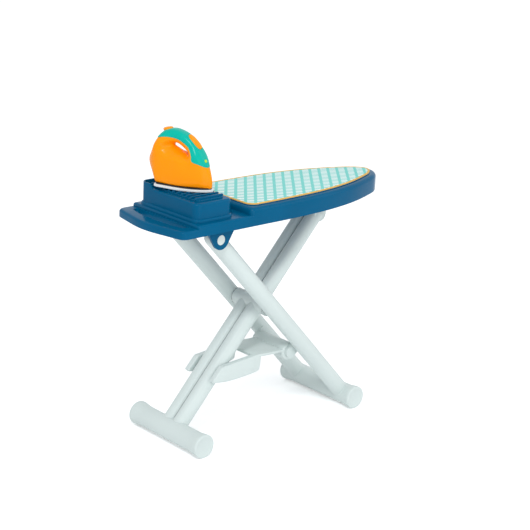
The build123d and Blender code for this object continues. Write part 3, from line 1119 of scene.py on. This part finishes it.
@dataclass
class IronRest:
    """The box that carries the iron: flared foot, round rim, ribbed bed and a guard at the heel."""

    finishes: Finishes
    start: float = 0.060
    end: float = 0.152
    half_width: float = 0.087
    corner: float = 0.015
    base: float = 0.4834
    rim: float = 0.5215
    wall: float = 0.003
    rim_round: float = 0.004
    foot_top: float = 0.491
    guard_from: float = 0.046
    guard_top: float = 0.531
    spare: float = 0.01
    bed_inset: float = 0.012
    bed_top: float = 0.5245
    rib_top: float = 0.5287
    rib_width: float = 0.004
    rib_pitch: float = 0.0135
    ribs: int = 11

    def plan(self, grow: Flat, corner: float) -> list[Flat]:
        """Rectangle with round corners, anticlockwise.

        Args:
            grow: How much longer and wider than the box it is, on each side.
            corner: Radius of its corners.

        Returns:
            Points round the outline.
        """
        left, right = along(self.start) - grow[0] + corner, along(self.end) + grow[0] - corner
        side = self.half_width + grow[1] - corner
        middles = ((right, side), (left, side), (left, -side), (right, -side))
        points = []
        for i, middle in enumerate(middles):
            points.extend(arc(middle, corner, 90 * i, 8))
        return points

    def tier(
        self, grow: Flat, corner: float, low: float, high: float, soften: float = 0.0
    ) -> bpy.types.Object:
        """One upright part of the box, with its top edge rounded.

        Args:
            grow: How much longer and wider than the box it is, on each side.
            corner: Radius of its corners.
            low: Height of its underside.
            high: Height of its top.
            soften: Width of the rounding, or 0 for none.

        Returns:
            The part.
        """
        part = Bench.upright("tier", self.plan(grow, corner), low, high)
        if soften:
            Bench.bevel(part, soften, 5, Bench.at_level(high))
        return part

    def hollow(self, low: float, high: float) -> bpy.types.Object:
        """What is cut out of the box inside its walls.

        Args:
            low: Height of its underside.
            high: Height of its top.

        Returns:
            The solid to cut with.
        """
        return self.tier((-self.wall, -self.wall), self.corner - self.wall, low, high)

    def heel_guard(self) -> bpy.types.Object:
        """The far end of the rim, which sweeps up behind the iron's heel.

        Returns:
            The guard.
        """
        foot = self.rim - 0.006
        guard = self.tier((0, 0), self.corner, foot, self.guard_top)
        inside = self.hollow(foot - self.spare, self.guard_top + self.spare)
        Bench.combine(guard, inside, Blend.CUT)
        y, beyond = self.guard_from, self.half_width + 0.005
        sweep = smooth_run([
            (y - 0.004, self.rim - 0.001), (y, self.rim), (y + 0.004, self.rim + 0.0015),
            (y + 0.008, self.guard_top - 0.0015), (y + 0.012, self.guard_top + 0.0002),
        ], 5)
        side = [(y - 0.004, foot), *sweep, (beyond, self.guard_top + 0.001), (beyond, foot)]
        mould = Bench.slab("sweep", [(along(0.0), a, b) for a, b in side], (0.25, 0, 0))
        Bench.combine(guard, mould, Blend.SHARE)
        Bench.rounded(guard, 0.0011, 3, 50)
        return guard

    def bed_ribs(self) -> bpy.types.Object:
        """The ribs under the iron: one is modelled and copied across the bed.

        Returns:
            All ribs as one piece.
        """
        left, right = along(self.start + self.bed_inset), along(self.end - self.bed_inset)
        half, low = self.rib_width / 2, self.bed_top - 0.0008
        plan = [(left, -half), (right, -half), (right, half), (left, half)]
        master = Bench.upright("rib", plan, low, self.rib_top)
        Bench.bevel(master, 0.0013, 4, Bench.above(low + 0.001))
        copies = []
        for i in range(self.ribs):
            shift = Matrix.Translation((0, (i - (self.ribs - 1) / 2) * self.rib_pitch, 0))
            copies.append(Bench.twin(master, f"rib_{i}", shift))
        bpy.data.objects.remove(master)
        Bench.only(copies[0])
        for copy in copies:
            copy.select_set(True)
        bpy.ops.object.join()
        return bpy.context.object

    def build(self) -> None:
        """Model the box and put it in place of its CAD node."""
        box = self.tier((0, 0), self.corner, self.base, self.rim, self.rim_round)
        box.name = "iron_rest_box"
        foot = self.tier((0.003, 0.004), self.corner + 0.003, self.base, self.foot_top, 0.0036)
        Bench.combine(box, foot, Blend.JOIN)
        Bench.combine(box, self.heel_guard(), Blend.JOIN)
        inset, corner = -self.bed_inset, self.corner - self.bed_inset / 2
        bed = self.tier((inset, inset), corner, self.rim - 0.002, self.bed_top, 0.0013)
        Bench.combine(box, bed, Blend.JOIN)
        Bench.combine(box, self.bed_ribs(), Blend.JOIN)
        Bench.combine(box, self.hollow(self.base - self.spare, self.rim - self.wall), Blend.CUT)
        Bench.done(box, "board", self.finishes.blue, "blue_plastic", ["iron_rest"])


@dataclass
class FootCaps:
    """The flared caps at both ends of the two foot tubes."""

    finishes: Finishes
    half_length: float = 0.108
    height: float = 0.025

    def build(self) -> None:
        """Model one cap and copy it to the four ends."""
        profile = [
            (0.0224, -0.0300), (0.0227, -0.0260), (0.0232, -0.0200), (0.0240, -0.0150),
            (0.0246, -0.0105), (0.0250, -0.0060), (0.0250, -0.0030), (0.0246, -0.0014),
            (0.0237, -0.0004), (0.0225, 0.0), (0.0200, 0.0), (0.0190, -0.0005), (0.0182, -0.0009),
        ]
        master = Bench.turned("cap_master", profile, 64)
        for name, x in (("front_foot_cap", along(0.510)), ("rear_foot_cap", along(0.0835))):
            body = "outer_leg" if name.startswith("front") else "inner_leg"
            for side, word in ((-1, "near"), (1, "far")):
                turn = Matrix.Rotation(math.radians(-90 * side), 4, "X")
                spot = Matrix.Translation((x, side * self.half_length, self.height)) @ turn
                cap = Bench.twin(master, f"{name}_{word}_flared", spot)
                Bench.done(cap, body, self.finishes.grey, "grey_plastic", [f"{name}_{word}"])
        bpy.data.objects.remove(master)


@dataclass
class InnerLegPaintedShade:
    """Painted shade on the inner leg: dark strips in the groove between its twin tubes, and dark
    rings round the ends of its hub, where shade falls in the narrow gaps.
    """

    finishes: Finishes
    foot: Flat = (-0.2290, 0.0250)
    mid: Flat = (-0.019142, 0.257793)
    runs: tuple[Flat, Flat] = ((0.0240, 0.2940), (0.3330, 0.5260))
    depths: Flat = (0.0068, 0.0088)
    half_width: float = 0.0008
    hub_radius: float = 0.0175
    hub_end: float = 0.0466
    ring: float = 0.0008

    def groove_shade_strip(self, run: Flat, side: int) -> bpy.types.Object:
        """A thin dark strip at the bottom of the groove where the twin tubes meet: painted shade in
        the groove.

        Args:
            run: Its start and end, as distances up the leg from the foot.
            side: 1 for the side that faces up, -1 for the side that faces down.

        Returns:
            The strip.
        """
        foot = Vector(self.foot)
        up = (Vector(self.mid) - foot).normalized()
        out = Vector((-up.y, up.x)) * side
        (start, end), (shallow, deep) = run, self.depths
        corners = []
        for reach, depth in ((start, shallow), (end, shallow), (end, deep), (start, deep)):
            spot = foot + up * reach + out * depth
            corners.append((spot.x, spot.y))
        # The dark strip paints the shade at the bottom of the groove between the tubes.
        name = f"tube_seam_{'upper' if side > 0 else 'lower'}_{int(start * 1000)}"
        strip = Bench.prism(name, corners, self.half_width)
        Bench.rounded(strip, 0.0003, 2, 50)
        return strip

    def collar(self) -> bpy.types.Object:
        """A dark ring that paints the shade in the gap at one end of the hub, drawn flat along its
        axis.

        Returns:
            The ring at the near end.
        """
        bpy.ops.mesh.primitive_torus_add(
            major_segments=72, minor_segments=12,
            major_radius=self.hub_radius - self.ring * 0.7, minor_radius=self.ring,
        )
        ring = bpy.context.object
        ring.name = "hub_end_painted_shade_near"
        Bench.edit(ring, "SELECT")
        bpy.ops.transform.resize(value=(1, 1, 0.8))
        Bench.leave()
        place = Matrix.Translation((self.mid[0], -self.hub_end, self.mid[1]))
        return Bench.placed(ring, place @ ACROSS)

    def build(self) -> None:
        """Model the painted shade strips and rings, which turn with the inner leg."""
        # Every dark strip and ring here is painted shade, not a part of the leg.
        for run in self.runs:
            for side in (1, -1):
                Bench.done(self.groove_shade_strip(run, side), "inner_leg", self.finishes.dark)
        # The dark rings at both hub ends are painted shade.
        near = self.collar()
        far = Bench.twin(near, "hub_end_painted_shade_far", Matrix.Translation((0, 2 * self.hub_end, 0)))
        for ring in (near, far):
            Bench.done(ring, "inner_leg", self.finishes.dark)


@dataclass
class LockingStay:
    """The stay under the crossing: a barrel, a neck and two prongs either side of the inner leg."""

    finishes: Finishes
    pivot_x: float = 0.048344
    pivot_z: float = 0.14711
    half_width: float = 0.046
    notch_half: float = 0.033
    notch_end: float = 0.262
    notch_reach: float = 0.08
    prong_end: float = 0.281
    neck_thick: float = 0.0062
    bore: float = 0.00505

    def prongs(self) -> bpy.types.Object:
        """The two prongs, either side of the inner leg.

        Returns:
            The prongs.
        """
        z, tip, end = self.pivot_z, along(0.165), along(self.prong_end)
        upper = smooth_run([
            (end + 0.003, z + 0.0100), (end - 0.012, z + 0.0108), (tip + 0.085, z + 0.0096),
            (tip + 0.055, z + 0.0080), (tip + 0.013, z + 0.0050),
        ], 5)
        lower = smooth_run([
            (tip - 0.0085, z - 0.0248), (tip + 0.020, z - 0.0290), (tip + 0.045, z - 0.0298),
            (tip + 0.085, z - 0.0285), (end - 0.008, z - 0.0262),
        ], 5)
        root = [(end - 0.001, z - 0.0225), (end + 0.001, z - 0.010)]
        profile = [*upper, (tip - 0.0120, z - 0.0215), *lower, *root]
        prongs = Bench.prism("stay_forked", profile, self.half_width)
        gap, left, right = self.notch_half, tip - 0.060, end + 0.010
        plan = [(left, -gap), (right, -gap), (right, gap), (left, gap)]
        notch = Bench.upright("notch", plan, z - self.notch_reach, z + self.notch_reach)
        Bench.combine(prongs, notch, Blend.CUT)
        Bench.rounded(prongs, 0.0024, 4, 40)
        return prongs

    def neck(self) -> bpy.types.Object:
        """The thin plate from the prongs to the barrel, with a slight wave.

        Returns:
            The plate.
        """
        x, z, end = self.pivot_x, self.pivot_z, along(self.prong_end)
        top = smooth_run([
            (along(self.notch_end + 0.003), z + 0.0108), (end, z + 0.0112),
            (end + 0.020, z + 0.0098), (end + 0.045, z + 0.0082), (x - 0.012, z + 0.0072),
            (x, z + 0.0070),
        ], 5)
        under = [(a, b - self.neck_thick) for a, b in reversed(top)]
        neck = Bench.prism("neck", [*top, *under], self.half_width)
        Bench.rounded(neck, 0.0016, 3, 40)
        return neck

    def build(self) -> None:
        """Model the stay and put it in place of its CAD node."""
        pivot = Matrix.Translation((self.pivot_x, 0, self.pivot_z)) @ ACROSS
        stay = self.prongs()
        Bench.combine(stay, self.neck(), Blend.JOIN)
        end = [(0.0190, 0.0440), (0.0178, 0.0462), (0.0165, 0.0470)]
        barrel = Bench.turned("barrel", [*other_side(end), *end])
        Bench.combine(stay, Bench.placed(barrel, pivot), Blend.JOIN)
        bore = Bench.turned("bore", [(self.bore, -0.06), (self.bore, 0.06)], 32)
        Bench.combine(stay, Bench.placed(bore, pivot), Blend.CUT)
        Bench.done(stay, "stay", self.finishes.grey, "grey_plastic", ["locking_stay"])


@dataclass
class ToyIron:
    """The toy iron on its rest. Sizes are from heel to nose, sideways and up from its sole."""

    finishes: Finishes
    centre: Place = (-0.204, 0.0025, 0.5288)
    turn: float = math.radians(-70.5)
    length: float = 0.118
    half_width: float = 0.033
    widest: float = 0.36
    body_bottom: float = 0.0062
    grip: tuple[Flat, Flat] = ((0.0400, 0.0850), (0.0640, 0.0715))
    hole_waist: float = 0.62
    core: Flat = (0.040, 0.0725)
    cover_thick: float = 0.0011
    pocket_gap: float = 0.0006
    button: Flat = (0.0178, 0.0082)
    button_rise: float = 0.0032
    button_slope: tuple[Place, Place] = ((0.0600, 0, 0.1050), (0.0890, 0, 0.0800))
    knob_at: Place = (0.0145, 0, 0.1068)
    knob_tilt: float = math.radians(-12)
    lamp_at: Place = (0.1008, -0.003, 0.0590)
    lamp_tilt: float = math.radians(64)
    sole_thick: float = 0.0050
    # Heights of the dark layer above the sole, which paints the shade in the gap under the body.
    gap: Flat = (0.0046, 0.0072)
    around: int = 120
    section: int = 32
    oval_sides: int = 40

    def place(self) -> Matrix:
        """Where the iron's own frame is."""
        return (
            Matrix.Translation(self.centre)
            @ Matrix.Rotation(self.turn, 4, "Z")
            @ Matrix.Translation((-self.length / 2, 0, 0))
        )

    def plan_half(self, s: float) -> float:
        """Half width of the sole at a distance from the heel.

        Args:
            s: Distance from the heel.

        Returns:
            The half width there.
        """
        widest = self.widest * self.length
        if s <= widest:
            return self.half_width
        share = min(1.0, (s - widest) / (self.length - widest))
        return self.half_width * (1 - share ** 2.15) ** 0.62

    def outside(self) -> list[Flat]:
        """Side outline of the body above the sole.

        Returns:
            Points round it, anticlockwise from under its middle.
        """
        low = self.body_bottom
        base = [(x / 1000, low) for x in (36, 50, 64, 78, 90, 100, 108)]
        front = smooth_run([
            (0.1148, low), (0.1155, 0.0120), (0.1140, 0.0260), (0.1075, 0.0440), (0.0990, 0.0620),
            (0.0840, 0.0840), (0.0620, 0.1030), (0.0360, 0.1120), (0.0160, 0.1100),
            (0.0035, 0.1010), (-0.0045, 0.0890), (-0.0130, 0.0730), (-0.0195, 0.0590),
            (-0.0232, 0.0490), (-0.0205, 0.0380), (-0.0130, 0.0270), (-0.0040, 0.0150),
            (0.0010, low),
        ], 6)
        rear = [(x / 1000, low) for x in (8, 16, 25)]
        return [*base, *front, *rear]

    def hole(self) -> list[Flat]:
        """Side outline of the finger opening, anticlockwise."""
        return smooth_run([
            (0.0380, 0.0640), (0.0520, 0.0612), (0.0630, 0.0600), (0.0705, 0.0650),
            (0.0650, 0.0735), (0.0550, 0.0810), (0.0440, 0.0862), (0.0320, 0.0888),
            (0.0210, 0.0872), (0.0140, 0.0800), (0.0140, 0.0735), (0.0210, 0.0690),
        ], 7, closed=True)

    def waist(self, rim: Flat, sideways: float) -> Flat:
        """Where the opening's wall is: its floor rises towards the handle at the iron's middle.

        Args:
            rim: A point of the opening's outline at the body's side.
            sideways: Distance from the middle as a share of the body's half width there.

        Returns:
            The point of the wall at that distance.
        """
        narrow = self.hole_waist * (1 - sideways ** 2)
        low, high = Vector(self.grip[0]), Vector(self.grip[1])
        run = high - low
        share = min(1.0, max(0.0, (Vector(rim) - low).dot(run) / run.length_squared))
        spot = Vector(rim).lerp(low + run * share, narrow)
        return (spot.x, spot.y)

    def resampled(self, loop: Sequence[Flat]) -> list[Flat]:
        """Points of a closed loop at even angles about the middle of the opening.

        Args:
            loop: The loop.

        Returns:
            One point for each angle.
        """
        middle = Vector(self.core)
        rim = [Vector(p) - middle for p in loop]
        found = []
        for i in range(self.around):
            turn = 2 * math.pi * i / self.around
            ray = Vector((math.cos(turn), math.sin(turn)))
            best = None
            for a, b in zip(rim, rim[1:] + rim[:1]):
                span = b - a
                det = ray.x * -span.y + ray.y * span.x
                if abs(det) < PARALLEL:
                    continue
                t = (a.x * -span.y + a.y * span.x) / det
                k = (ray.x * a.y - ray.y * a.x) / det
                if t > 0 and -TINY <= k <= 1 + TINY:
                    best = t if best is None else max(best, t)
            place = middle + ray * (best or 0.0)
            found.append((place.x, place.y))
        return found

    def thickness(self, s: float, z: float) -> float:
        """Half width of the body at a place in its side view.

        Args:
            s: Distance from the heel.
            z: Height above the sole.

        Returns:
            The half width there.
        """
        # The sides lean in upwards and behind the heel, and draw in to the handle above a
        # shoulder; the handle's rear post is wider than its grip.
        base = self.plan_half(max(s, 0.0)) - 0.0015 - 0.004 * min(1.0, z / 0.05)
        if s < 0.0:
            base -= 0.42 * -s
        rise, ahead = ease((z - 0.056) / 0.030), ease((s - 0.004) / 0.036)
        post = 0.025 - 0.009 * ease((z - 0.086) / 0.024)
        handle = post + (0.0150 - post) * ahead
        return max(0.0035, base + (min(handle, base) - base) * rise)

    def shell(self, name: str, swell: float) -> bpy.types.Object:
        """The body's outer form: a torus drawn out to the side outline and round the opening.

        Args:
            name: Name of the piece.
            swell: How far its surface stands out from the body's.

        Returns:
            The closed form, in the iron's own frame.
        """
        outer, inner = self.resampled(self.outside()), self.resampled(self.hole())
        bpy.ops.mesh.primitive_torus_add(
            major_segments=self.around, minor_segments=self.section,
            major_radius=1.0, minor_radius=0.25,
        )
        piece = bpy.context.object
        piece.name = name
        for i in range(self.around):
            hole, rim = Vector(inner[i]), Vector(outer[i])
            ray = (rim - hole).normalized()
            down, back = max(0.0, -ray.y), max(0.0, -ray.x)
            for k in range(self.section):
                turn = 2 * math.pi * k / self.section
                c, q = math.cos(turn), math.sin(turn)
                # A larger power squares the section: at the foot, and at the opening's
                # floor and heel.
                sharp = 2.6 + 7.0 * down ** 4 if c > 0 else 2.1 + 4.0 * max(down, back)
                reach = math.copysign(abs(c) ** (2 / sharp), c)
                spread = math.copysign(abs(q) ** (2 / (3.0 + 4.0 * down ** 4)), q)
                share = 0.5 + 0.5 * reach
                wall = hole + (Vector(self.waist(inner[i], abs(spread))) - hole) * (1 - share) ** 2
                spot = wall + (rim - hole) * share + ray * swell * reach
                half = self.thickness(spot.x, spot.y) + swell
                piece.data.vertices[i * self.section + k].co = (spot.x, half * spread, spot.y)
        piece.data.update()
        Bench.edit(piece)
        Bench.close_up()
        return piece

    def cover_outline(self) -> list[Flat]:
        """Side outline of the coloured cover, generous outside the body."""
        lower = smooth_run([
            (-0.0075, 0.0925), (0.0044, 0.0958), (0.0213, 0.0982), (0.0436, 0.0964),
            (0.0591, 0.0900), (0.0702, 0.0818), (0.0780, 0.0691), (0.0812, 0.0588),
            (0.0935, 0.0540), (0.1026, 0.0492), (0.1085, 0.0468),
        ], 6)
        return [
            *lower, (0.140, 0.050), (0.120, 0.125), (0.036, 0.135), (-0.030, 0.125),
            (-0.030, 0.090),
        ]

    def body(self) -> None:
        """The moulded body with its opening, and the cover over its handle and slope."""
        body = self.shell("iron_body_shell", 0.0)
        cover = self.shell("iron_cover_shell", self.cover_thick)
        Bench.combine(cover, Bench.prism("band", self.cover_outline(), 0.06), Blend.SHARE)
        pocket = self.oval("pocket", self.pocket_gap, -0.011, 0.012)
        Bench.combine(cover, Bench.placed(pocket, self.slope()), Blend.CUT)
        Bench.rounded(cover, 0.0005, 2, 50)
        Bench.placed(body, self.place())
        Bench.placed(cover, self.place())
        halves = ["iron_body_near", "iron_body_far"]
        Bench.done(body, "iron", self.finishes.orange, "orange_plastic", halves)
        Bench.done(cover, "iron", self.finishes.teal, "teal_plastic", ["iron_handle_cover"])

    def slope(self) -> Matrix:
        """Frame of the thumb button.

        Returns:
            Its place in the iron's own frame, with X down the slope and Z out of it.
        """
        first, last = (Vector(end) for end in self.button_slope)
        ahead = (last - first).normalized()
        out = Vector((-ahead.z, 0, ahead.x))
        side = out.cross(ahead)
        turn = Matrix((ahead, side, out)).transposed().to_4x4()
        return Matrix.Translation((first + last) / 2) @ turn

    def oval(self, name: str, margin: float, low: float, high: float) -> bpy.types.Object:
        """Long oval solid, for the thumb button or its pocket.

        Args:
            name: Name of the solid.
            margin: How far it is pushed out all round.
            low: Where it starts, measured out of the slope.
            high: Where it ends.

        Returns:
            The solid, in the frame of the slope.
        """
        half_length, half_width = self.button[0] + margin, self.button[1] + margin
        plan = []
        for i in range(self.oval_sides):
            turn = 2 * math.pi * i / self.oval_sides
            c, q = math.cos(turn), math.sin(turn)
            plan.append((
                math.copysign(abs(c) ** 0.8, c) * half_length,
                math.copysign(abs(q) ** 0.8, q) * half_width,
            ))
        return Bench.upright(name, plan, low, high)

    def controls(self) -> None:
        """The thumb button, the fill knob and the small lamp."""
        button = self.oval("iron_thumb_pad", 0.0, -0.007, self.button_rise)
        Bench.bevel(button, 0.0018, 4, Bench.above(0.003))
        Bench.placed(Bench.placed(button, self.slope()), self.place())
        orange = self.finishes.orange
        Bench.done(button, "iron_button", orange, "orange_plastic", ["iron_thumb_button"])
        knob = Bench.turned("iron_knob_turned", [
            (0.0085, 0.0), (0.0092, 0.0010), (0.0092, 0.0024), (0.0098, 0.0032),
            (0.0098, 0.0048), (0.0092, 0.0060), (0.0078, 0.0068), (0.0052, 0.0073),
            (0.0030, 0.0074),
        ])
        tilt = Matrix.Translation(self.knob_at) @ Matrix.Rotation(self.knob_tilt, 4, "Y")
        Bench.placed(knob, self.place() @ tilt)
        Bench.done(knob, "iron", orange, "orange_plastic", ["iron_fill_knob"])
        lamp = Bench.turned("iron_lamp_dome", [
            (0.0034, 0.0), (0.0034, 0.0010), (0.0031, 0.0018), (0.0024, 0.0024), (0.0012, 0.0027),
        ], 24)
        lean = Matrix.Translation(self.lamp_at) @ Matrix.Rotation(self.lamp_tilt, 4, "Y")
        Bench.placed(lamp, self.place() @ lean)
        Bench.done(lamp, "iron", self.finishes.lamp, "lamp_green_plastic", ["iron_lamp"])

    def sole(self) -> None:
        """The sole plate, and a dark layer above it that paints the shade in the gap between sole
        and body.
        """
        side, count = [(0.0026, 0.0304), (0.009, self.half_width)], 26
        widest = self.widest * self.length
        for i in range(count + 1):
            s = widest + (self.length - widest) * math.sin(math.pi / 2 * i / count)
            side.append((s, self.plan_half(s)))
        heel = [(0.0, y) for y in (0.024, 0.012, 0.0, -0.012, -0.024)]
        outline = [*heel, *[(s, -y) for s, y in side], *reversed(side[:-1])]
        plate = Bench.upright("iron_sole_plate", outline, 0.0, self.sole_thick)
        Bench.rounded(plate, 0.0012, 3, 60)
        # A dark layer inset under the body: painted shade in the gap between the sole and the body.
        sole_shade_layer = Bench.upright("iron_sole_painted_shade", drawn_in(outline, 0.0035), *self.gap)
        Bench.placed(plate, self.place())
        Bench.placed(sole_shade_layer, self.place())
        Bench.done(plate, "iron", self.finishes.sole, "sole_grey_plastic", ["iron_sole"])
        Bench.done(sole_shade_layer, "iron", self.finishes.dark)

    def build(self) -> None:
        """Model the whole iron."""
        self.body()
        self.controls()
        self.sole()


@dataclass
class Studio:
    """Pale floor, soft lights and the camera at the photograph's angle."""

    camera_at: Place = (-1.9848, -2.1433, 1.2643)
    azimuth: float = math.radians(-42.936)
    elevation: float = math.radians(17.714)
    roll: float = math.radians(2.749)
    lens: float = 100.525
    sensor: float = 36.0
    clip: Flat = (0.05, 200.0)
    shift: Flat = (0.0013, 0.0029)
    aim: Place = (0.0, 0.0, 0.35)
    floor_size: float = 40.0
    floor_glow: float = 0.35
    sky: Light = (0.97, 0.985, 1.0, 1)
    sky_strength: float = 0.74
    lamps: tuple[tuple[str, Place, float, float], ...] = (
        ("key", (-1.6, -1.2, 2.4), 0.5, 26.0),
        ("fill", (1.8, -1.6, 1.6), 1.8, 8.0),
        ("front", (-0.5, -2.6, 0.7), 2.0, 14.0),
    )

    def floor(self) -> None:
        """A large pale floor."""
        bpy.ops.mesh.primitive_plane_add(size=self.floor_size, location=(0, 0, 0))
        floor = bpy.context.object
        floor.name = "studio_floor"
        shader = Shader("studio_floor")
        shader.set("Base Color", linear(250, 251, 252))
        shader.set("Roughness", 0.9)
        shader.set("Specular IOR Level", 0.0)
        shader.set("Emission Color", shader.mixed(shader.seen_directly(), BLACK, WHITE))
        shader.set("Emission Strength", self.floor_glow)
        floor.data.materials.append(shader.material)

    def world(self) -> None:
        """Even light from all round, and a white background."""
        world = bpy.data.worlds.new("studio")
        bpy.context.scene.world = world
        world.use_nodes = True
        nodes = Nodes(world.node_tree)
        light, white = (
            nodes.node("ShaderNodeBackground", inputs={"Color": colour, "Strength": strength})
            for colour, strength in ((self.sky, self.sky_strength), (WHITE, 1.0))
        )
        mix = nodes.node("ShaderNodeMixShader", inputs={
            0: nodes.seen_directly(), 1: light.outputs[0], 2: white.outputs[0],
        })
        nodes.node("ShaderNodeOutputWorld", inputs={"Surface": mix.outputs[0]})

    def lamp(self, name: str, at: Place, size: float, power: float) -> None:
        """A soft square light aimed at the board.

        Args:
            name: Name of the light.
            at: Where it stands.
            size: Side of the square.
            power: Its power in watts.
        """
        data = bpy.data.lights.new(name, "AREA")
        data.size, data.energy = size, power
        lamp = bpy.data.objects.new(name, data)
        bpy.context.scene.collection.objects.link(lamp)
        lamp.location = at
        ray = Vector(self.aim) - Vector(at)
        lamp.rotation_euler = ray.to_track_quat("-Z", "Y").to_euler()

    def camera(self) -> None:
        """The camera of the photograph."""
        turn, rise, roll = self.azimuth, self.elevation, self.roll
        back = Vector((
            math.sin(turn) * math.cos(rise), -math.cos(turn) * math.cos(rise), math.sin(rise),
        ))
        right = Vector((math.cos(turn), math.sin(turn), 0))
        up = back.cross(right)
        level = right * math.cos(roll) + up * math.sin(roll)
        head = up * math.cos(roll) - right * math.sin(roll)
        data = bpy.data.cameras.new("photo_camera")
        data.lens, data.sensor_width = self.lens, self.sensor
        data.shift_x, data.shift_y = self.shift
        data.clip_start, data.clip_end = self.clip
        camera = bpy.data.objects.new("photo_camera", data)
        bpy.context.scene.collection.objects.link(camera)
        pose = Matrix((level, head, back)).transposed().to_4x4()
        camera.matrix_world = Matrix.Translation(self.camera_at) @ pose
        bpy.context.scene.camera = camera

    def build(self) -> None:
        """Set up the studio."""
        bpy.context.scene.view_settings.view_transform = "Standard"
        self.floor()
        self.world()
        for settings in self.lamps:
            self.lamp(*settings)
        self.camera()


def main() -> None:
    """Build every sub-assembly in order."""
    logging.basicConfig(level=logging.INFO, format="%(message)s")
    finishes = Finishes()
    finishes.dress_nodes(frame["nodes"])
    board = BoardTop(finishes)
    board.build()
    Pad(finishes, board).build()
    IronRest(finishes).build()
    FootCaps(finishes).build()
    InnerLegPaintedShade(finishes).build()
    LockingStay(finishes).build()
    ToyIron(finishes).build()
    Studio().build()


if __name__ == "__main__":
    main()
